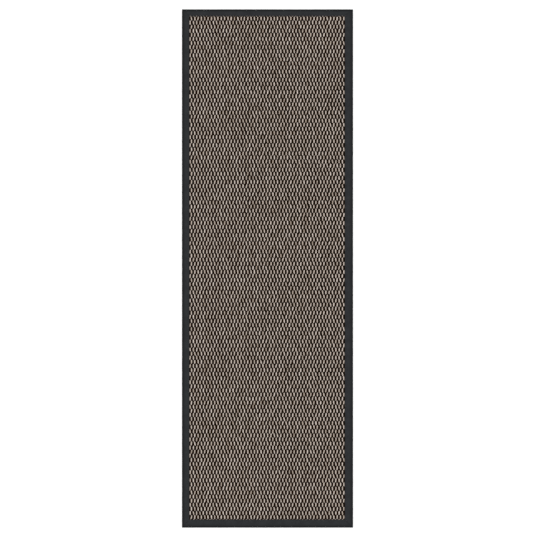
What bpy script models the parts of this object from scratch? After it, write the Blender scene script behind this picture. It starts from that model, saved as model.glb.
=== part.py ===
"""Bound runner rug: a loop-faced flatweave with its ground cloth and latex backing.

Each of the four edges is squeezed into a folded tape, mitred at the corners and
lockstitched through the whole stack with a needle thread above and a bobbin thread
below. Metres, +Z up. The origin is the middle of the underside, X runs across the
rug and Y along it, from the foot at -Y to the head at +Y.
"""

import math

import bmesh
import bpy

# Overall size, over the tape.
RUG_WIDTH = 0.660
RUG_LENGTH = 2.000

# Each layer's thickness in the open field, and where the tape squeezes it.
BACKING_THICKNESS = 0.0018
BACKING_EDGE_THICKNESS = 0.0010
GROUND_THICKNESS = 0.0012
GROUND_EDGE_THICKNESS = 0.0008
FACE_THICKNESS = 0.0038
FACE_EDGE_THICKNESS = 0.0018
EASE_LENGTH = 0.006  # beside the tape, where the stack swells from squeezed to full

# The tape is guided by hand, so it covers a little more on one side than another.
TAPE_THICKNESS = 0.0012
TAPE_COVER = {"foot": 0.0314, "right": 0.0310, "head": 0.0260, "left": 0.0285}
FOLD_STEPS = 12  # flats in the half-round fold

THREAD_DIAMETER = 0.0005
SEAM_INSET = 0.0040  # from the tape's inner edge to the row of stitches

CLEARANCE = 0.0003  # between pieces that touch

# Counterclockwise from above, so each side's neighbours are the ones beside it here.
SIDES = ("foot", "right", "head", "left")

MATERIALS = {  # colour, roughness
    "loop_yarn": ((0.145, 0.118, 0.097), 0.85),
    "ground_yarn": ((0.045, 0.033, 0.024), 0.90),
    "latex": ((0.055, 0.052, 0.050), 0.70),
    "binding_tape": ((0.031, 0.033, 0.036), 0.88),
    "sewing_thread": ((0.020, 0.021, 0.023), 0.60),
}

# What follows from the sizes above.
BOUND_HEIGHT = (
    2 * TAPE_THICKNESS
    + BACKING_EDGE_THICKNESS
    + GROUND_EDGE_THICKNESS
    + FACE_EDGE_THICKNESS
    + 4 * CLEARANCE
)
FOLD_RADIUS = BOUND_HEIGHT / 2
FOLD_INNER_RADIUS = FOLD_RADIUS - TAPE_THICKNESS
GROOVE_DEPTH = THREAD_DIAMETER + CLEARANCE
GROOVE_WIDTH = THREAD_DIAMETER + 2 * CLEARANCE


def material(name):
    """The Principled material of that name, made once."""
    made = bpy.data.materials.get(name)
    if made is None:
        colour, roughness = MATERIALS[name]
        made = bpy.data.materials.new(name)
        made.use_nodes = True
        shader = made.node_tree.nodes["Principled BSDF"]
        shader.inputs["Base Color"].default_value = (*colour, 1.0)
        shader.inputs["Roughness"].default_value = roughness
        shader.inputs["Metallic"].default_value = 0.0
    return made


def add_object(name, data, material_name, collection):
    """An object around a mesh or a curve, with its material, in the rug's collection."""
    made = bpy.data.objects.new(name, data)
    data.materials.append(material(material_name))
    collection.objects.link(made)
    return made


def stack_heights(thicknesses, start):
    """(low, high) of each layer of a stack that starts at a height, a clearance apart."""
    heights = []
    low = start
    for thickness in thicknesses:
        heights.append((low, low + thickness))
        low += thickness + CLEARANCE
    return heights


def edge_inset(low, high):
    """How far from the rug's outline a squeezed layer ends, so that it clears the fold."""
    reach = FOLD_INNER_RADIUS - CLEARANCE
    off_centre = max(abs(low - FOLD_RADIUS), abs(high - FOLD_RADIUS))
    return FOLD_RADIUS - math.sqrt(max(reach**2 - off_centre**2, 0.0))


def break_lines(half_size, low_side, high_side, inset):
    """Where a layer ends, stops being squeezed and is at full height, across one axis."""
    low_free = -half_size + TAPE_COVER[low_side] + CLEARANCE
    high_free = half_size - TAPE_COVER[high_side] - CLEARANCE
    return [
        -half_size + inset,
        low_free,
        low_free + EASE_LENGTH,
        high_free - EASE_LENGTH,
        high_free,
        half_size - inset,
    ]


def nearest_vert(bm, x, y, z):
    """The vertex closest to a place."""
    return min(bm.verts, key=lambda vert: math.dist(vert.co, (x, y, z)))


def crease_corners(bm, across, along):
    """Cut the slope at each corner of the field along its mitre, above and below."""
    for x_field, x_edge in ((across[2], across[1]), (across[3], across[4])):
        for y_field, y_edge in ((along[2], along[1]), (along[3], along[4])):
            for level in (-0.5, 0.5):
                field_corner = nearest_vert(bm, x_field, y_field, level)
                edge_corner = nearest_vert(bm, x_edge, y_edge, level)
                bmesh.ops.connect_vert_pair(bm, verts=[field_corner, edge_corner])


def add_layer(name, open_heights, edge_heights, material_name, collection):
    """A sheet as large as the rug, full in the open field and squeezed under the tape."""
    inset = edge_inset(*edge_heights)
    across = break_lines(RUG_WIDTH / 2, "left", "right", inset)
    along = break_lines(RUG_LENGTH / 2, "foot", "head", inset)
    bm = bmesh.new()
    bmesh.ops.create_cube(bm, size=1.0)
    for vert in bm.verts:
        vert.co.x = across[0] if vert.co.x < 0 else across[-1]
        vert.co.y = along[0] if vert.co.y < 0 else along[-1]
    for axis, lines in enumerate((across, along)):
        normal = [0.0, 0.0, 0.0]
        normal[axis] = 1.0
        for line in lines[1:-1]:
            place = [0.0, 0.0, 0.0]
            place[axis] = line
            geometry = [*bm.verts, *bm.edges, *bm.faces]
            bmesh.ops.bisect_plane(bm, geom=geometry, plane_co=place, plane_no=normal)
    crease_corners(bm, across, along)
    margin = EASE_LENGTH / 2
    for vert in bm.verts:
        in_field = (
            across[2] - margin < vert.co.x < across[3] + margin
            and along[2] - margin < vert.co.y < along[3] + margin
        )
        low, high = open_heights if in_field else edge_heights
        vert.co.z = low if vert.co.z < 0 else high
    mesh = bpy.data.meshes.new(name)
    bm.to_mesh(mesh)
    bm.free()
    return add_object(name, mesh, material_name, collection)


def fold_arc(radius):
    """Half-round stretch of the tape's section, from its top flange round to its bottom."""
    for step in range(FOLD_STEPS + 1):
        angle = math.pi / 2 + math.pi * step / FOLD_STEPS
        yield (
            FOLD_RADIUS + radius * math.cos(angle),
            FOLD_RADIUS + radius * math.sin(angle),
        )


def tape_section(cover):
    """Outline of the folded tape: distance in from the rug's edge, and height."""
    seam = cover - SEAM_INSET
    groove = (seam - GROOVE_WIDTH / 2, seam + GROOVE_WIDTH / 2)
    top = BOUND_HEIGHT
    outside = [
        (cover, top),
        (groove[1], top),
        (groove[1], top - GROOVE_DEPTH),
        (groove[0], top - GROOVE_DEPTH),
        (groove[0], top),
        *fold_arc(FOLD_RADIUS),
        (groove[0], 0.0),
        (groove[0], GROOVE_DEPTH),
        (groove[1], GROOVE_DEPTH),
        (groove[1], 0.0),
        (cover, 0.0),
    ]
    inside = [
        (cover, TAPE_THICKNESS),
        *reversed(list(fold_arc(FOLD_INNER_RADIUS))),
        (cover, top - TAPE_THICKNESS),
    ]
    return outside + inside


def mesh_of_section(name, points):
    """Closed mesh of a flat outline, drawn out a metre each way along its normal."""
    curve = bpy.data.curves.new(name + "_section", "CURVE")
    curve.dimensions = "2D"
    curve.fill_mode = "BOTH"
    curve.extrude = 1.0
    spline = curve.splines.new("POLY")
    spline.points.add(len(points) - 1)
    for point, (inward, height) in zip(spline.points, points, strict=True):
        point.co = (inward, height, 0.0, 1.0)
    spline.use_cyclic_u = True
    drawn = bpy.data.objects.new(curve.name, curve)
    mesh = bpy.data.meshes.new_from_object(drawn)
    mesh.name = name
    bpy.data.objects.remove(drawn)
    bpy.data.curves.remove(curve)
    bm = bmesh.new()
    bm.from_mesh(mesh)
    bmesh.ops.remove_doubles(bm, verts=bm.verts, dist=0.00001)
    bmesh.ops.recalc_face_normals(bm, faces=bm.faces)
    bm.to_mesh(mesh)
    bm.free()
    mesh.materials.clear()
    return mesh


class Side:
    """One side of the rug, drawn along local X with the rug inward at +Y."""

    def __init__(self, name):
        index = SIDES.index(name)
        self.name = name
        self.cover = TAPE_COVER[name]
        self.run = RUG_WIDTH if name in ("foot", "head") else RUG_LENGTH
        self.reach = (RUG_LENGTH if name in ("foot", "head") else RUG_WIDTH) / 2
        self.turn = index * math.pi / 2
        self.cover_before = TAPE_COVER[SIDES[index - 1]]
        self.cover_after = TAPE_COVER[SIDES[(index + 1) % len(SIDES)]]

    def mitre(self, inward, end):
        """Where the mitre cuts the tape at a distance in from its edge; end is -1 or 1."""
        neighbour = self.cover_before if end < 0 else self.cover_after
        cut_back = inward * neighbour / self.cover
        return end * (self.run / 2 - CLEARANCE - cut_back)


def add_tape(side, collection):
    """The folded length of tape on one side, mitred to meet its neighbours."""
    name = "binding_tape_" + side.name
    mesh = mesh_of_section(name, tape_section(side.cover))
    for vert in mesh.vertices:
        inward, height, end = vert.co
        vert.co = (side.mitre(inward, end), inward - side.reach, height)
    mesh.update()
    tape = add_object(name, mesh, "binding_tape", collection)
    tape.rotation_euler.z = side.turn
    mesh.shade_smooth()
    mesh.set_sharp_from_angle(angle=math.radians(40))
    return tape


def add_thread(name, side, height, collection):
    """A straight stand-in for one thread of a seam, laid in the tape's groove."""
    inward = side.cover - SEAM_INSET
    curve = bpy.data.curves.new(name, "CURVE")
    curve.dimensions = "3D"
    curve.bevel_depth = THREAD_DIAMETER / 2
    curve.bevel_resolution = 2
    curve.use_fill_caps = True
    spline = curve.splines.new("POLY")
    spline.points.add(1)
    for point, end in zip(spline.points, (-1, 1), strict=True):
        along = side.mitre(inward, end) - end * (THREAD_DIAMETER + CLEARANCE)
        point.co = (along, inward - side.reach, height, 1.0)
    thread = add_object(name, curve, "sewing_thread", collection)
    thread.rotation_euler.z = side.turn
    return thread


def build_rug():
    for old in list(bpy.data.objects):
        bpy.data.objects.remove(old)
    collection = bpy.data.collections.new("runner_rug")
    bpy.context.scene.collection.children.link(collection)

    names = ("latex_backing", "ground_cloth", "woven_face")
    slots = ("latex", "ground_yarn", "loop_yarn")
    in_field = stack_heights((BACKING_THICKNESS, GROUND_THICKNESS, FACE_THICKNESS), 0.0)
    at_edge = stack_heights(
        (BACKING_EDGE_THICKNESS, GROUND_EDGE_THICKNESS, FACE_EDGE_THICKNESS),
        TAPE_THICKNESS + CLEARANCE,
    )
    for name, heights, edge_heights, slot in zip(
        names, in_field, at_edge, slots, strict=True
    ):
        add_layer(name, heights, edge_heights, slot, collection)

    thread_radius = THREAD_DIAMETER / 2
    for side in map(Side, SIDES):
        add_tape(side, collection)
        add_thread(
            "needle_thread_" + side.name, side, BOUND_HEIGHT - thread_radius, collection
        )
        add_thread("bobbin_thread_" + side.name, side, thread_radius, collection)


build_rug()
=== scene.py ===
from math import atan2, ceil, hypot, pi, radians

import bmesh
import bpy
import numpy as np
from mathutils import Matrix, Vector


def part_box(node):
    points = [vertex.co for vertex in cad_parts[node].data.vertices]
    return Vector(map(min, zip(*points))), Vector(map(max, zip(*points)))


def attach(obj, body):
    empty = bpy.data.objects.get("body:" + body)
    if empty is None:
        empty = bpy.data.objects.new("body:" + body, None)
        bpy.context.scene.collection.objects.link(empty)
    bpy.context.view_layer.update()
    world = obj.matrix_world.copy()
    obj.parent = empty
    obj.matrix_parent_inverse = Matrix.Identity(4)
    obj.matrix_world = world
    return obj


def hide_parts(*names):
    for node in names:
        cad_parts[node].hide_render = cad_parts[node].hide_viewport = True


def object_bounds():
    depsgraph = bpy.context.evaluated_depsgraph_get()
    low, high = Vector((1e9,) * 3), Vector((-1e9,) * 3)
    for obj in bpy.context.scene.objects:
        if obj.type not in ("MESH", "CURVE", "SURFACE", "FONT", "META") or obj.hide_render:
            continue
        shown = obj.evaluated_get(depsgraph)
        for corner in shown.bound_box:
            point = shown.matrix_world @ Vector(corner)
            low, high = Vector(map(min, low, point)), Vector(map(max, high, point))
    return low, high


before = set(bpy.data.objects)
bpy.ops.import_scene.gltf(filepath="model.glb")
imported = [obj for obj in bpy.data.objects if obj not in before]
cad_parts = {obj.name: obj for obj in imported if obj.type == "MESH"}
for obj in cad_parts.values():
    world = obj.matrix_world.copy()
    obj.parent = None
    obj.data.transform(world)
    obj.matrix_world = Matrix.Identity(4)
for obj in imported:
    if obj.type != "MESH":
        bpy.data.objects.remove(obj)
cadLow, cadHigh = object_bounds()
chance = np.random.default_rng(7)  # seeded, so every run makes the same rug

# the sides run counterclockwise from above, and each is modelled as the foot lies, then turned
sideNames = ("foot", "right", "head", "left")


def deselectAll():
    for piece in bpy.context.selected_objects:
        piece.select_set(False)


def makeActive(piece):
    deselectAll()
    piece.select_set(True)
    bpy.context.view_layer.objects.active = piece


def pick(piece, kind, test):
    # in edit mode: selects the verts, edges or faces that pass a test, and nothing else
    cage = bmesh.from_edit_mesh(piece.data)
    for group in (cage.faces, cage.edges, cage.verts):
        for part in group:
            part.select = False
    for part in getattr(cage, kind):
        if test(part):
            part.select_set(True)
    bpy.context.tool_settings.mesh_select_mode = (kind == "verts", kind == "edges", kind == "faces")
    cage.select_flush_mode()
    bmesh.update_edit_mesh(piece.data)


def newPiece(name):
    piece = bpy.context.object
    piece.name = name
    piece.data.name = name
    return piece


def dropMaps(piece):
    while piece.data.uv_layers:
        piece.data.uv_layers.remove(piece.data.uv_layers[0])


def applyModifiers(piece):
    makeActive(piece)
    for modifier in list(piece.modifiers):
        bpy.ops.object.modifier_apply(modifier=modifier.name)


def layOut(piece, count, step):
    # a row of copies, each a step from the last
    makeActive(piece)
    array = piece.modifiers.new("array", "ARRAY")
    array.count = count
    array.use_relative_offset = False
    array.use_constant_offset = True
    array.constant_offset_displace = step
    applyModifiers(piece)


def placesOf(piece):
    places = np.empty(len(piece.data.vertices) * 3, np.float32)
    piece.data.vertices.foreach_get("co", places)
    return places.reshape(-1, 3).astype(float)


def setPlaces(piece, places):
    piece.data.vertices.foreach_set("co", places.astype(np.float32).ravel())
    piece.data.update()


def keepValues(piece, name, values):
    # a number for each vert, for the material to read
    layer = piece.data.attributes.new(name, "FLOAT", "POINT")
    layer.data.foreach_set("value", values.astype(np.float32).ravel())


def smoothly(share):
    share = np.clip(share, 0, 1)
    return share * share * (3 - 2 * share)


def finishPiece(piece, material, node):
    piece.data.materials.clear()
    piece.data.materials.append(material)
    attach(piece, "root")
    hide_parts(node)
    return piece


class Value:
    # a socket that takes part in Python sums
    def __init__(self, finish, socket):
        self.finish = finish
        self.socket = socket

    def __add__(self, other):
        return self.finish.maths("ADD", self, other)

    def __radd__(self, other):
        return self.finish.maths("ADD", other, self)

    def __sub__(self, other):
        return self.finish.maths("SUBTRACT", self, other)

    def __rsub__(self, other):
        return self.finish.maths("SUBTRACT", other, self)

    def __mul__(self, other):
        return self.finish.maths("MULTIPLY", self, other)

    def __rmul__(self, other):
        return self.finish.maths("MULTIPLY", other, self)


class Finish:
    # a material being made
    def __init__(self, name, **constants):
        self.material = bpy.data.materials.new(name)
        self.material.use_nodes = True
        self.nodes = self.material.node_tree.nodes
        self.shader = self.nodes["Principled BSDF"]
        self.wear(**constants)

    def node(self, kind, settings=None, inputs=None, output=0):
        made = self.nodes.new(kind)
        for setting, value in (settings or {}).items():
            setattr(made, setting, value)
        for socket, value in (inputs or {}).items():
            self.plug(made.inputs[socket], value)
        return Value(self, made.outputs[output])

    def plug(self, socket, value):
        if isinstance(value, Value):
            self.material.node_tree.links.new(value.socket, socket)
        else:
            socket.default_value = value

    def maths(self, operation, *values):
        return self.node("ShaderNodeMath", {"operation": operation}, dict(enumerate(values)))

    def wave(self, distance, pitch):
        return self.maths("SINE", distance * (2 * pi / pitch))

    def between(self, value, low, high):
        # 0 at low, 1 at high, and smooth between
        return self.node(
            "ShaderNodeMapRange",
            {"interpolation_type": "SMOOTHSTEP"},
            {"Value": value, "From Min": low, "From Max": high},
        )

    def mix(self, share, first, second):
        return self.node("ShaderNodeMix", {"data_type": "RGBA"}, {0: share, 6: first, 7: second}, 2)

    def noise(self, vector, scale, detail=2.0):
        inputs = {"Vector": vector, "Scale": scale, "Detail": detail}
        return self.node("ShaderNodeTexNoise", inputs=inputs)

    def vector(self, x, y, z=0.0):
        return self.node("ShaderNodeCombineXYZ", inputs={"X": x, "Y": y, "Z": z})

    def parts(self, vector):
        split = self.node("ShaderNodeSeparateXYZ", inputs={"Vector": vector}).socket.node
        return [Value(self, output) for output in split.outputs]

    def uv(self, name):
        return self.parts(self.node("ShaderNodeUVMap", {"uv_map": name}))[:2]

    def kept(self, name):
        return self.node("ShaderNodeAttribute", {"attribute_name": name}, output=2)

    def place(self):
        # where a point lies on the rug
        return self.node("ShaderNodeTexCoord", output=3)

    def bump(self, height, distance):
        return self.node("ShaderNodeBump", inputs={"Height": height, "Distance": distance})

    def wear(self, **values):
        for socket, value in values.items():
            self.plug(self.shader.inputs[socket.replace("_", " ")], value)
        return self.material


def addUp(effects, shares):
    # each named effect by its share, added up
    return sum(effects[name] * share for name, share in shares.items())


def tint(red, green, blue):
    # an sRGB colour in 255ths as the linear one that a shader takes
    def linear(part):
        part /= 255
        return part / 12.92 if part <= 0.04045 else ((part + 0.055) / 1.055) ** 2.4

    return (linear(red), linear(green), linear(blue), 1.0)


studio = {
    "lens": 85.0,
    "sensor": 36.0,
    "rugShare": 0.96944,  # of the height that the camera takes in
    "aimAlong": 0.0039,
    "skyStrength": 1.0,
    "lampStrength": 1.1,
    "lampSpread": 70.0,
    "floorSize": 60.0,
    "floorDrop": 0.0002,
    "paper": (tint(247, 247, 247), tint(251, 251, 251)),
    "paperCloud": 3.0,
}


def makeStudio():
    span = (cadHigh.y - cadLow.y) / studio["rugShare"]
    height = cadHigh.z + span * studio["lens"] / studio["sensor"]
    bpy.ops.object.camera_add(location=(0, studio["aimAlong"], height), rotation=(0, 0, 0))
    camera = bpy.context.object
    camera.data.lens = studio["lens"]
    camera.data.sensor_width = studio["sensor"]
    camera.data.clip_end = 2 * studio["floorSize"]
    bpy.context.scene.camera = camera

    bpy.ops.object.light_add(type="SUN", location=(0, 0, 3))
    lamp = bpy.context.object
    lamp.data.energy = studio["lampStrength"]
    lamp.data.angle = radians(studio["lampSpread"])

    world = bpy.data.worlds.new("studioSky")
    world.use_nodes = True
    sky = world.node_tree.nodes["Background"]
    sky.inputs["Color"].default_value = (1, 1, 1, 1)
    sky.inputs["Strength"].default_value = studio["skyStrength"]
    bpy.context.scene.world = world
    bpy.context.scene.view_settings.view_transform = "Standard"

    low = cadLow.z - studio["floorDrop"]
    bpy.ops.mesh.primitive_plane_add(size=studio["floorSize"], location=(0, 0, low))
    floor = newPiece("floor")
    bpy.ops.object.transform_apply(location=True, rotation=True, scale=True)
    paper = Finish("paperFloor", Roughness=0.9)
    cloud = paper.noise(paper.place(), studio["paperCloud"])
    floor.data.materials.append(paper.wear(Base_Color=paper.mix(cloud, *studio["paper"])))


deselectAll()
makeStudio()
print("studio ready")


def innerEdge(side):
    low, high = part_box("binding_tape_" + side)
    return {"foot": high.y, "right": low.x, "head": low.y, "left": high.x}[side]


field = {side: innerEdge(side) for side in sideNames}


def insideField(x, y):
    # how far a point is inside the open field, and less than 0 under the tape
    across = np.minimum(x - field["left"], field["right"] - x)
    along = np.minimum(y - field["foot"], field["head"] - y)
    return np.minimum(across, along)


yarnFinish = {
    # the third colour of each yarn is painted shade, taken where a loop lies low, towards its ends
    # and in its ply grooves
    "light": {"dull": tint(149, 133, 118), "bright": tint(220, 208, 199), "paintedShade": tint(66, 46, 28)},
    "dark": {"dull": tint(16, 9, 3), "bright": tint(34, 22, 11), "paintedShade": tint(11, 6, 2)},
    "litHeights": (0.0041, 0.0065),  # a loop comes out of its neighbours' shade between these
    "litEnds": (1.0, 0.74),  # and between these shares of its half length
    "grooveShade": 0.55,  # how much the painted shade darkens the groove between the plies
    "grooveReach": 0.6,  # of a ply's height, up from the groove
    "grooveShape": 0.6,  # below 1 the plies are full and the groove is narrow
    "fibresAround": 34.0,
    "fibresAlong": 4.0,
    "mottleAround": 3.0,  # partly the wool's uneven dye, partly painted highlight on the yarn
    "mottleAlong": 9.0,
    "fuzz": 2600.0,
    # what makes yarn brighter, and the sums at which it is dull and bright; the ply, fibre and mottle
    # terms are partly painted highlight on ply crests and fibre tips
    "brightenedBy": {"tone": 0.55, "mottle": 0.9, "fibres": 0.35, "ply": 0.12},
    "brightens": (0.6, 1.37),
    "raisedBy": {"ply": 0.8, "fibres": 0.6, "fuzz": 0.3},
    "relief": 0.0012,
    "roughness": (0.78, 0.95),
}


def yarnMaterial(shade):
    colours = yarnFinish[shade]
    finish = Finish(shade + "Yarn", Specular_IOR_Level=0.03)
    around, along = finish.uv("yarn")
    tone = finish.kept("tone")
    # two plies, with the groove between them along the twist
    ply = finish.maths("ABSOLUTE", finish.wave(around, 1.0))
    ply = finish.maths("POWER", ply, yarnFinish["grooveShape"])
    # a loop's tone also sets where its fibres and its mottle start, so that no two loops match
    lie = finish.vector(
        around * yarnFinish["fibresAround"], along * yarnFinish["fibresAlong"], tone * 40
    )
    fibres = finish.noise(lie, 1.0, 3.0)
    patches = finish.vector(
        around * yarnFinish["mottleAround"], along * yarnFinish["mottleAlong"], tone * 90
    )
    mottle = finish.noise(patches, 1.0)
    fuzz = finish.noise(finish.place(), yarnFinish["fuzz"])
    effects = {"tone": tone, "mottle": mottle, "fibres": fibres, "ply": ply, "fuzz": fuzz}
    brightness = finish.between(
        addUp(effects, yarnFinish["brightenedBy"]), *yarnFinish["brightens"]
    )
    # painted shade: the colour turns to the shaded one low down, towards the loop's ends and in the
    # grooves between the plies
    toEnd = finish.maths("ABSOLUTE", along - 0.5) * 2
    lit = finish.between(finish.kept("rise"), *yarnFinish["litHeights"])
    lit = lit * finish.between(toEnd, *yarnFinish["litEnds"])
    groove = yarnFinish["grooveShade"]
    lit = lit * (finish.between(ply, 0.0, yarnFinish["grooveReach"]) * groove + (1 - groove))
    low, high = yarnFinish["roughness"]
    return finish.wear(
        Base_Color=finish.mix(
            lit, colours["paintedShade"], finish.mix(brightness, colours["dull"], colours["bright"])
        ),
        Roughness=fibres * (high - low) + low,
        Normal=finish.bump(addUp(effects, yarnFinish["raisedBy"]), yarnFinish["relief"]),
    )


weave = {
    "columns": 95,
    "columnPitch": 0.006387,
    "firstColumn": 0.0024,  # from the left tape to the first column's middle
    "rows": 125,  # the first and the last are mostly under the tape
    "rowPitch": 0.015765,
    "firstRow": -0.0060,  # from the head tape to the first row's middle
    "stagger": 0.00053,  # rows sit this far right and left of even by turns
    "strips": 4,  # pieces that the face is made in, for each shade
    "root": 0.0024,  # height at which loops leave the ground cloth
    "squeezed": 0.60,  # of its height is left to a loop under the tape
    "easingStart": -0.001,  # in from the tape's inner edge
    "easing": 0.007,
}

loops = {
    "light": {
        "width": 0.0048,
        "thickness": 0.0038,
        "length": 0.0185,
        "crown": 0.0074,  # height of its top
        # share of the half length, girth, and how far it has sunk
        "rings": ((0.16, 1.0, 0.0), (0.46, 1.0, 0.0003), (0.76, 0.94, 0.0012), (1.0, 0.62, 0.0034)),
        "lean": 0.0010,
        "firstRow": 0,  # in which it stands in the first column
    },
    "dark": {
        "width": 0.0074,
        "thickness": 0.0037,
        "length": 0.0190,
        "crown": 0.0072,
        "rings": ((0.16, 1.0, 0.0), (0.46, 0.95, 0.0004), (0.76, 0.80, 0.0013), (1.0, 0.5, 0.0030)),
        "lean": 0.0010,
        "firstRow": 1,
    },
    "sides": 8,
    "twist": 24.0,  # degrees that the yarn turns from one ring to the next
    "waist": 0.74,  # height left at the dip between the two plies
}

scatter = {
    "patch": 0.12,  # lean that a loop shares with its neighbours
    "patchWaves": (61, 17, 43, 37),  # radians per metre
    "sway": 0.8,  # lean of its own
    "level": -0.35,  # evens out the slant that the twist gives
    "bend": 0.35,
    "width": 0.06,
    "length": 0.035,
    "across": 0.00022,
    "along": 0.00035,
    "up": 0.00012,
    "tone": 0.12,
    "furthest": 2.5,  # in spreads
}


def yarnMap(piece, half):
    # around and along the yarn, before it is twisted and bent
    mesh = piece.data
    layer = mesh.uv_layers.new(name="yarn")
    for face in mesh.polygons:
        places = [mesh.vertices[corner].co for corner in face.vertices]
        turns = [atan2(place.x, place.z) / (2 * pi) + 0.5 for place in places]
        crosses = max(turns) - min(turns) > 0.5
        for index, place, turn in zip(face.loop_indices, places, turns):
            around = turn + 1 if crosses and turn < 0.5 else turn
            layer.data[index].uv = (around, place.y / half / 2 + 0.5)


def makeLoop(name, loop):
    # one loop of yarn, lying along y, with its crown at its middle
    half = loop["length"] / 2
    rings = loop["rings"]
    near = 0.02 * half
    deselectAll()
    bpy.ops.mesh.primitive_cylinder_add(
        vertices=loops["sides"],
        radius=loop["width"] / 2,
        depth=2 * half * rings[0][0],
        rotation=(radians(90), 0, 0),
    )
    yarn = newPiece(name)
    bpy.ops.object.transform_apply(location=False, rotation=True, scale=False)
    dropMaps(yarn)
    bpy.ops.object.mode_set(mode="EDIT")
    for end in (-1, 1):
        pick(yarn, "faces", lambda face, end=end: face.normal.y * end > 0.9)
        for before, after in zip(rings, rings[1:]):
            step = (0, end * half * (after[0] - before[0]), 0)
            bpy.ops.mesh.extrude_region_move(TRANSFORM_OT_translate={"value": step})
            girth = after[1] / before[1]
            middle = (0, end * half * after[0], 0)
            bpy.ops.transform.resize(value=(girth, 1, girth), center_override=middle)
    bpy.ops.object.mode_set(mode="OBJECT")
    yarnMap(yarn, half)

    bpy.ops.object.mode_set(mode="EDIT")
    pick(yarn, "verts", lambda vert: abs(vert.co.x) < 0.05 * loop["width"])
    bpy.ops.transform.resize(value=(1, 1, loops["waist"]), center_override=(0, 0, 0))
    twist = radians(loops["twist"])
    for end in (-1, 1):
        for turn, ring in enumerate(rings):
            at = end * half * ring[0]
            pick(yarn, "verts", lambda vert, at=at: abs(vert.co.y - at) < near)
            bpy.ops.transform.rotate(
                value=end * (turn + 0.5) * twist, orient_axis="Y", center_override=(0, at, 0)
            )
    bpy.ops.mesh.select_all(action="SELECT")
    flat = loop["thickness"] / loop["width"]
    bpy.ops.transform.resize(value=(1, 1, flat), center_override=(0, 0, 0))
    bpy.ops.transform.translate(value=(0, 0, loop["crown"] - loop["thickness"] / 2))
    for share, girth, sunk in rings[1:]:
        at = half * share
        pick(yarn, "verts", lambda vert, at=at: abs(abs(vert.co.y) - at) < near)
        bpy.ops.transform.translate(value=(0, 0, -sunk))
    bpy.ops.object.mode_set(mode="OBJECT")
    bpy.ops.object.shade_smooth()
    return yarn


def copyOf(piece, move):
    makeActive(piece)
    bpy.ops.object.duplicate()
    copy = bpy.context.object
    copy.location = move
    bpy.ops.object.transform_apply(location=True, rotation=False, scale=False)
    return copy


def leaning(x, y):
    # neighbouring loops lean much the same way, in patches a few loops across
    first, second, third, fourth = scatter["patchWaves"]
    wave = np.sin(x * first + 2 * np.sin(y * second)) + np.sin(y * third + 2 * np.sin(x * fourth))
    return wave * scatter["patch"] / 2


def settleLoops(piece, perLoop, loop):
    # every loop sits a little differently, and those at the tape are pressed down
    places = placesOf(piece).reshape(-1, perLoop, 3)
    count = len(places)

    def vary(name):
        spread = scatter[name]
        furthest = spread * scatter["furthest"]
        return chance.normal(0, spread, (count, 1)).clip(-furthest, furthest)

    middle = (places.min(axis=1) + places.max(axis=1)) / 2
    middleX = middle[:, 0:1]
    middleY = middle[:, 1:2]
    x = places[:, :, 0] - middleX
    y = places[:, :, 1] - middleY
    along = y / (loop["length"] / 2)
    sway = leaning(middleX, middleY) + vary("sway") + scatter["level"]
    bend = vary("bend") * (along**2 - 0.3)
    x = x * (1 + vary("width")) + loop["lean"] * (sway * along + bend) + middleX + vary("across")
    y = y * (1 + vary("length")) + middleY + vary("along")
    z = places[:, :, 2] + vary("up") * (1 - along**2)
    keepValues(piece, "rise", z)
    opened = smoothly((insideField(x, y) - weave["easingStart"]) / weave["easing"])
    kept = weave["squeezed"] + (1 - weave["squeezed"]) * opened
    z = weave["root"] + (z - weave["root"]) * kept
    setPlaces(piece, np.stack([x, y, z], axis=2).reshape(-1, 3))
    keepValues(piece, "tone", np.repeat((0.5 + vary("tone")).clip(0, 1), perLoop))
    return count


def loopAtlas(piece, count):
    # each loop has a square of its own on the map that its colours are kept on
    mesh = piece.data
    flat = np.empty(len(mesh.loops) * 2, np.float32)
    mesh.uv_layers["yarn"].data.foreach_get("uv", flat)
    flat = flat.reshape(count, -1, 2)
    perRow = ceil(count**0.5)
    square = np.arange(count)[:, None]
    margin = 0.05
    widest = 1.25  # turns, as the last face runs past the first
    u = (square % perRow + margin + flat[:, :, 0] / widest * (1 - 2 * margin)) / perRow
    v = (square // perRow + margin + flat[:, :, 1] * (1 - 2 * margin)) / perRow
    layer = mesh.uv_layers.new(name="OFBake")
    layer.data.foreach_set("uv", np.stack([u, v], axis=2).astype(np.float32).ravel())


def makeStrip(name, yarn, loop, columns):
    # every loop of one shade in some neighbouring columns
    columnPitch = weave["columnPitch"]
    rowPitch = weave["rowPitch"]
    lattices = []
    for column in columns[:2]:
        row = (column + loop["firstRow"]) % 2
        stagger = weave["stagger"] * (-1 if row else 1)
        across = field["left"] + weave["firstColumn"] + column * columnPitch + stagger
        along = field["head"] - weave["firstRow"] - row * rowPitch
        lattice = copyOf(yarn, (across, along, 0))
        layOut(lattice, len(range(column, columns[-1] + 1, 2)), (2 * columnPitch, 0, 0))
        layOut(lattice, len(range(row, weave["rows"], 2)), (0, -2 * rowPitch, 0))
        lattices.append(lattice)
    makeActive(lattices[0])
    lattices[1].select_set(True)
    bpy.ops.object.join()
    strip = newPiece(name)
    count = settleLoops(strip, len(yarn.data.vertices), loop)
    loopAtlas(strip, count)
    return strip


def makeFace():
    made = []
    stripWidth = ceil(weave["columns"] / weave["strips"])
    for shade in ("light", "dark"):
        material = yarnMaterial(shade)
        yarn = makeLoop(shade + "Loop", loops[shade])
        for number in range(weave["strips"]):
            first = number * stripWidth
            columns = range(first, min(first + stripWidth, weave["columns"]))
            strip = makeStrip(f"{shade}Loops{number + 1}", yarn, loops[shade], columns)
            made.append(finishPiece(strip, material, "woven_face"))
        bpy.data.objects.remove(yarn)
    return made


faceLoops = makeFace()
print("woven face:", sum(len(piece.data.polygons) for piece in faceLoops), "faces")


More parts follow.
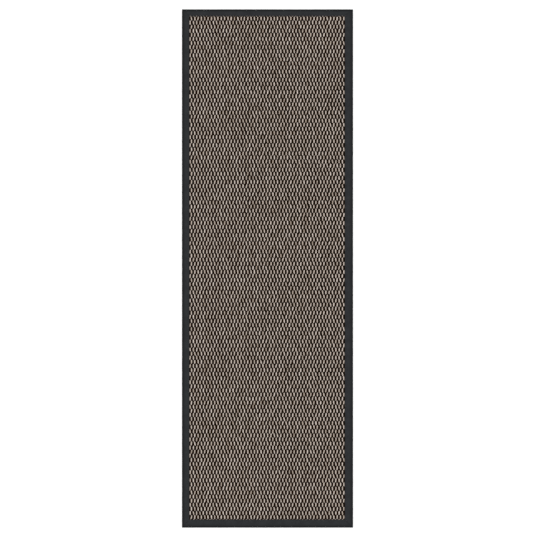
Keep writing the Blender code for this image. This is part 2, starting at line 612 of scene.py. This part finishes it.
groundCloth = {
    "node": "ground_cloth",
    "slot": "ground_yarn",
    "open": (0.0021, 0.0033),  # heights of its two faces in the field
    "edge": (0.0028, 0.0036),  # and under the tape
    # painted shade: both colours are near black, darker than the cloth itself, to stand for the shade
    # in the gaps between the loops
    "dark": tint(9, 6, 2),
    "pale": tint(27, 18, 10),
    "warpPitch": 0.0016,
    "weftPitch": 0.0020,
    "slub": 1200.0,
    "threads": 0.5,  # how much the threads count beside the slub
    "palest": 1.3,
    "relief": 0.0004,
    "roughness": (0.78, 0.98),
}

latexBacking = {
    "node": "latex_backing",
    "slot": "latex",
    "open": (0.0, 0.0018),
    "edge": (0.0015, 0.0025),
    "dark": tint(52, 50, 48),
    "pale": tint(74, 71, 68),
    "printPitch": 0.0042,  # of the cloth's threads, which show through
    "pores": 420.0,
    "blotches": 14.0,
    "raisedBy": {"warp": 0.25, "weft": 0.25, "pores": 0.6},
    "skinTone": 0.12,  # how much the raised skin is paler
    "toneRange": (0.3, 0.8),
    "relief": 0.0006,
    "roughness": (0.5, 0.8),
}

layerEasing = 0.006
layerCell = 0.011


def groundMaterial():
    finish = Finish("groundCloth", Specular_IOR_Level=0.03)
    place = finish.place()
    across, along = finish.parts(place)[:2]
    warp = finish.wave(across, groundCloth["warpPitch"])
    weft = finish.wave(along, groundCloth["weftPitch"])
    slub = finish.noise(place, groundCloth["slub"], 3.0)
    cloth = warp * weft * groundCloth["threads"] + slub
    shade = finish.between(cloth, 0.0, groundCloth["palest"])
    low, high = groundCloth["roughness"]
    return finish.wear(
        Base_Color=finish.mix(shade, groundCloth["dark"], groundCloth["pale"]),
        Roughness=slub * (high - low) + low,
        Normal=finish.bump(cloth, groundCloth["relief"]),
    )


def latexMaterial():
    finish = Finish("latexBacking", Specular_IOR_Level=0.35)
    place = finish.place()
    across, along = finish.parts(place)[:2]
    warp = finish.wave(across, latexBacking["printPitch"])
    weft = finish.wave(along, latexBacking["printPitch"])
    cells = finish.node(
        "ShaderNodeTexVoronoi", {"feature": "F1"}, {"Vector": place, "Scale": latexBacking["pores"]}
    )
    blotch = finish.noise(place, latexBacking["blotches"], 4.0)
    effects = {"warp": warp, "weft": weft, "pores": finish.between(cells, 0.0, 0.5)}
    skin = addUp(effects, latexBacking["raisedBy"])
    shade = finish.between(blotch + skin * latexBacking["skinTone"], *latexBacking["toneRange"])
    low, high = latexBacking["roughness"]
    return finish.wear(
        Base_Color=finish.mix(shade, latexBacking["dark"], latexBacking["pale"]),
        Roughness=blotch * (high - low) + low,
        Normal=finish.bump(skin, latexBacking["relief"]),
    )


def cutSize(layer):
    low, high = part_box(layer["node"])
    return (high.x - low.x, high.y - low.y)


def makeLayer(name, layer, material):
    width, length = cutSize(layer)
    deselectAll()
    bpy.ops.mesh.primitive_grid_add(
        x_subdivisions=round(width / layerCell), y_subdivisions=round(length / layerCell), size=1
    )
    cloth = newPiece(name)
    cloth.scale = (width, length, 1)
    bpy.ops.object.transform_apply(location=False, rotation=False, scale=True)
    thicken = cloth.modifiers.new("thickness", "SOLIDIFY")
    thicken.thickness = 1.0  # replaced below by its true height
    thicken.offset = -1
    applyModifiers(cloth)
    places = placesOf(cloth)
    upper = places[:, 2] > -0.5
    opened = smoothly(insideField(places[:, 0], places[:, 1]) / layerEasing)
    for face, isFace in enumerate((~upper, upper)):
        height = layer["edge"][face] + (layer["open"][face] - layer["edge"][face]) * opened
        places[isFace, 2] = height[isFace]
    setPlaces(cloth, places)
    bpy.ops.object.shade_smooth_by_angle(angle=radians(40))
    return finishPiece(cloth, material, layer["node"])


backing = makeLayer("latexBacking", latexBacking, latexMaterial())
ground = makeLayer("groundCloth", groundCloth, groundMaterial())
print("ground cloth and backing ready")


tape = {
    "thickness": 0.0012,
    "foldSteps": 12,
    "seamInset": 0.0040,  # from the inner edge to the stitches
    "grooveHalf": 0.0011,  # of the groove that the seam pulls in
    "grooveDepth": 0.00045,
    "cuts": (19, 14),  # lengthways, one after the other
    "wander": 0.00011,  # of the inner edge, off straight
    "wanderWaves": ((23, 1.0), (57, 0.6), (141, 0.4)),  # radians per metre, and share
    "ripple": 0.00005,
    "rippleWaves": ((31, 90), (83, -140)),
    "rim": 0.00030,
    "bandMargin": (0.009, 0.002),  # along and across, on the map that its colours are kept on
    "sideways": 0.3,  # a face less turned out or in than this is on the tape's cut edge
    "face": tint(47, 49, 51),
    "shade": tint(35, 36, 38),
    # painted shade where the tape turns round the rug's edge, away from the light
    "fold": tint(12, 12, 13),
    "foldShadeReach": 0.0075,  # how far in from the fold the cloth is painted darker, a painted shade where it turns from the light
    "twillPitch": 0.0016,
    "yarnPitch": 0.0008,
    "slub": (180, 1400),
    "drift": 45.0,
    "twillDrift": 0.0006,  # how far the twill strays
    "wovenFrom": {"twill": 0.35, "rib": 0.15, "slub": 0.5},
    "toneRange": (0.2, 1.2),
    "relief": 0.00035,
    "roughness": (0.80, 0.95),
}

stitch = {
    "pitch": 0.0032,
    "length": 0.0027,
    "radius": 0.00025,
    "dip": 0.0004,  # of its ends into the cloth
    "slew": 0.03,
    "stray": 0.00006,
    "cornerGap": 0.002,
    "dark": tint(24, 25, 27),
    "pale": tint(43, 45, 47),
    "strand": 3500.0,
    "taper": 0.85,
    "relief": 0.0001,
    "roughness": (0.45, 0.70),
}


def tapeMaterial():
    finish = Finish("bindingTape", Specular_IOR_Level=0.05)
    across, along = finish.uv("cloth")
    slubAcross, slubAlong = tape["slub"]
    drift = finish.noise(finish.place(), tape["drift"], 3.0)
    slub = finish.noise(finish.vector(across * slubAcross, along * slubAlong), 1.0)
    twill = finish.wave(across + along + drift * tape["twillDrift"], tape["twillPitch"])
    rib = finish.wave(along, tape["yarnPitch"])
    cloth = addUp({"twill": twill, "rib": rib, "slub": slub}, tape["wovenFrom"])
    shade = finish.between(cloth + drift, *tape["toneRange"])
    plain = finish.mix(shade, tape["shade"], tape["face"])
    low, high = tape["roughness"]
    # painted shade: the cloth darkens to the fold colour towards the rug's edge
    return finish.wear(
        Base_Color=finish.mix(finish.kept("foldShadeMask"), plain, tape["fold"]),
        Roughness=slub * (high - low) + low,
        Normal=finish.bump(cloth, tape["relief"]),
    )


def threadMaterial():
    finish = Finish("sewingThread", Specular_IOR_Level=0.15)
    strand = finish.noise(finish.place(), stitch["strand"])
    low, high = stitch["roughness"]
    return finish.wear(
        Base_Color=finish.mix(strand, stitch["dark"], stitch["pale"]),
        Roughness=strand * (high - low) + low,
        Normal=finish.bump(strand, stitch["relief"]),
    )


def coverOf(side):
    # how far a tape reaches in over the rug
    low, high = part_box("binding_tape_" + side)
    return min(high.x - low.x, high.y - low.y)


def sideFacts(side):
    low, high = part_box("binding_tape_" + side)
    index = sideNames.index(side)
    across = (index + 1) % 2
    radius = (high.z - low.z) / 2
    cover = coverOf(side)
    return {
        "cover": cover,
        "run": high[1 - across] - low[1 - across],
        "reach": (cadHigh[across] - cadLow[across]) / 2,
        "radius": radius,
        "turn": index * pi / 2,
        "neighbours": ((-1, coverOf(sideNames[index - 1])), (1, coverOf(sideNames[(index + 1) % 4]))),
        "seam": cover - tape["seamInset"],
        "cutWidth": 2 * (cover - radius) + pi * radius,
    }


def developed(place, facts):
    # how far a point is from the tape's upper inner edge, round the fold
    cover, radius = facts["cover"], facts["radius"]
    if place.y < radius:
        return cover - radius + radius * atan2(radius - place.y, place.z - radius)
    if place.z > radius:
        return cover - place.y
    return facts["cutWidth"] - (cover - place.y)


def turnIntoPlace(piece, facts):
    makeActive(piece)
    places = placesOf(piece)
    places[:, 1] -= facts["reach"]
    setPlaces(piece, places)
    piece.rotation_euler.z = facts["turn"]
    bpy.ops.object.transform_apply(location=False, rotation=True, scale=False)


def runsAlong(edge):
    start, stop = edge.verts
    return abs((stop.co - start.co).normalized().x) > 0.999


def foldTape(name, facts):
    # the tape's outer face: over the top, round the rug's edge and back beneath
    cover, radius, seam = facts["cover"], facts["radius"], facts["seam"]
    depth = tape["grooveDepth"]
    grooveIn = seam + tape["grooveHalf"]
    grooveOut = seam - tape["grooveHalf"]
    middle = (radius + grooveOut) / 2
    deselectAll()
    bpy.ops.mesh.primitive_plane_add(size=1, location=(0, (cover + grooveIn) / 2, 2 * radius))
    cloth = newPiece(name)
    cloth.scale = (facts["run"], cover - grooveIn, 1)
    bpy.ops.object.transform_apply(location=True, rotation=False, scale=True)
    dropMaps(cloth)
    bpy.ops.object.mode_set(mode="EDIT")
    pick(cloth, "edges", lambda edge: all(abs(v.co.y - grooveIn) < 0.0001 for v in edge.verts))
    at = grooveIn
    for y, rise in ((seam, -depth), (grooveOut, depth), (middle, 0), (radius, 0)):
        bpy.ops.mesh.extrude_region_move(TRANSFORM_OT_translate={"value": (0, y - at, rise)})
        at = y
    bpy.ops.mesh.spin(
        steps=tape["foldSteps"], angle=pi, center=(0, radius, radius), axis=(-1, 0, 0)
    )
    for y, rise in ((middle, 0), (grooveOut, 0), (seam, depth), (grooveIn, -depth), (cover, 0)):
        bpy.ops.mesh.extrude_region_move(TRANSFORM_OT_translate={"value": (0, y - at, rise)})
        at = y
    # mitred to meet the tapes on either side
    for end, neighbour in facts["neighbours"]:
        bpy.ops.mesh.select_all(action="SELECT")
        slant = Vector((end * cover, neighbour, 0)).normalized()
        corner = (end * facts["run"] / 2, 0, 0)
        bpy.ops.mesh.bisect(plane_co=corner, plane_no=slant, clear_outer=True)
    for cuts in tape["cuts"]:
        pick(cloth, "edges", runsAlong)
        bpy.ops.mesh.subdivide(number_cuts=cuts)
    bpy.ops.mesh.select_all(action="SELECT")
    bpy.ops.mesh.normals_make_consistent(inside=False)
    bpy.ops.object.mode_set(mode="OBJECT")
    return cloth


def relaxTape(cloth, facts):
    # sewn by hand and eye: the inner edge wanders and the top ripples
    x, y, z = placesOf(cloth).T
    radius = facts["radius"]
    phases = iter(chance.uniform(0, 2 * pi, 5))
    drift = sum(share * np.sin(x * rate + next(phases)) for rate, share in tape["wanderWaves"])
    swell = sum(np.sin(x * one + y * two + next(phases)) for one, two in tape["rippleWaves"])
    inner = (z > 1.5 * radius) * smoothly((y - radius) / (facts["cover"] - radius))
    y = y + inner * drift * tape["wander"]
    z = z + inner * swell * tape["ripple"]
    setPlaces(cloth, np.stack([x, y, z], axis=1))
    # painted shade: a mask that darkens the cloth towards the fold
    keepValues(cloth, "foldShadeMask", 1 - smoothly(y / tape["foldShadeReach"]))


def depthOf(place, radius):
    # how far a point is beneath the tape's outer face
    if place.y < radius:
        return radius - hypot(place.y - radius, place.z - radius)
    return radius - abs(place.z - radius)


def facingOut(face, radius):
    # 1 where a face looks straight out of the fold, and -1 where it looks in at the rug
    up = face.center.z - radius
    out = min(face.center.y - radius, 0)
    return face.normal.dot(Vector((0, out, up)).normalized())


def bandAtlas(cloth, facts):
    # the tape cut into bands, one above the other on a square map, with its inside smaller beneath
    mesh = cloth.data
    run, cut, radius = facts["run"], facts["cutWidth"], facts["radius"]
    rim = tape["thickness"]
    sideways = tape["sideways"]
    before, beside = tape["bandMargin"]
    bands = round((run / cut) ** 0.5)
    length = run / bands
    pitch = cut + 2 * (rim + beside)
    wide = length + 3 * before + rim
    high = bands * pitch + cut / bands + 2 * beside
    layer = mesh.uv_layers.new(name="OFBake")
    for face in mesh.polygons:
        facing = facingOut(face, radius)
        isEnd = abs(facing) < sideways and abs(face.normal.x) > sideways
        band = min(int((face.center.x + run / 2) / length), bands - 1)
        start = band * length - run / 2
        below = 1 if face.center.z < radius else -1
        for index in face.loop_indices:
            place = mesh.vertices[mesh.loops[index].vertex_index].co
            width = developed(place, facts)
            depth = depthOf(place, radius)
            if facing < -sideways:
                u = (place.x + run / 2) / bands + before
                v = bands * pitch + beside + width / bands
            else:
                u = length + 2 * before + depth if isEnd else place.x - start + before
                v = band * pitch + beside + rim + width + (0 if isEnd else below * depth)
            layer.data[index].uv = (u / wide, v / high)


def makeTape(side, facts, material):
    cloth = foldTape("tape_" + side, facts)
    flatArea = sum(face.area for face in cloth.data.polygons)
    layer = cloth.data.uv_layers.new(name="cloth")
    for corner in cloth.data.loops:
        place = cloth.data.vertices[corner.vertex_index].co
        layer.data[corner.index].uv = (developed(place, facts), place.x)
    relaxTape(cloth, facts)
    thicken = cloth.modifiers.new("thickness", "SOLIDIFY")
    thicken.thickness = tape["thickness"]
    thicken.offset = -1
    soften = cloth.modifiers.new("rim", "BEVEL")
    soften.width = tape["rim"]
    soften.segments = 2
    soften.limit_method = "ANGLE"
    soften.angle_limit = radians(60)
    applyModifiers(cloth)
    bandAtlas(cloth, facts)
    bpy.ops.object.shade_smooth_by_angle(angle=radians(50))
    turnIntoPlace(cloth, facts)
    finishPiece(cloth, material, "binding_tape_" + side)
    return cloth, flatArea


def makeStitches(thread, side, facts, material):
    # one row of stitches; the needle thread lies on top and the bobbin thread beneath
    up = 1 if thread == "needle" else -1
    surface = 2 * facts["radius"] if up > 0 else 0.0
    cover, seam = facts["cover"], facts["seam"]
    starts, stops = [
        end * (facts["run"] / 2 - seam * neighbour / cover - stitch["cornerGap"])
        for end, neighbour in facts["neighbours"]
    ]
    count = int((stops - starts) / stitch["pitch"])
    deselectAll()
    bpy.ops.mesh.primitive_cylinder_add(
        vertices=6,
        radius=stitch["radius"],
        depth=stitch["length"] / 2,
        location=(starts + stitch["pitch"] / 2, seam, surface - up * stitch["radius"]),
        rotation=(0, radians(90), 0),
    )
    piece = newPiece(f"{thread}Stitches_{side}")
    bpy.ops.object.transform_apply(location=True, rotation=True, scale=False)
    bpy.ops.object.mode_set(mode="EDIT")
    for end in (-1, 1):
        pick(piece, "faces", lambda face, end=end: face.normal.x * end > 0.9)
        for share in (0.3, 0.7):
            step = (end * stitch["length"] / 8, 0, -up * stitch["dip"] * share)
            bpy.ops.mesh.extrude_region_move(TRANSFORM_OT_translate={"value": step})
            bpy.ops.transform.resize(value=(1, stitch["taper"], stitch["taper"]))
    bpy.ops.object.mode_set(mode="OBJECT")
    bpy.ops.object.shade_smooth()
    layOut(piece, count, (stitch["pitch"], 0, 0))
    places = placesOf(piece).reshape(count, -1, 3)
    along = places[:, :, 0] - places[:, :, 0].mean(axis=1, keepdims=True)
    places[:, :, 1] += chance.normal(0, stitch["slew"], (count, 1)) * along
    places[:, :, 1] += chance.normal(0, stitch["stray"], (count, 1))
    setPlaces(piece, places.reshape(-1, 3))
    turnIntoPlace(piece, facts)
    return finishPiece(piece, material, f"{thread}_thread_{side}")


tapeCloth = tapeMaterial()
sewingThread = threadMaterial()
for side in sideNames:
    facts = sideFacts(side)
    bound, flatArea = makeTape(side, facts, tapeCloth)
    seams = [makeStitches(thread, side, facts, sewingThread) for thread in ("needle", "bobbin")]
print("tape and seams ready")
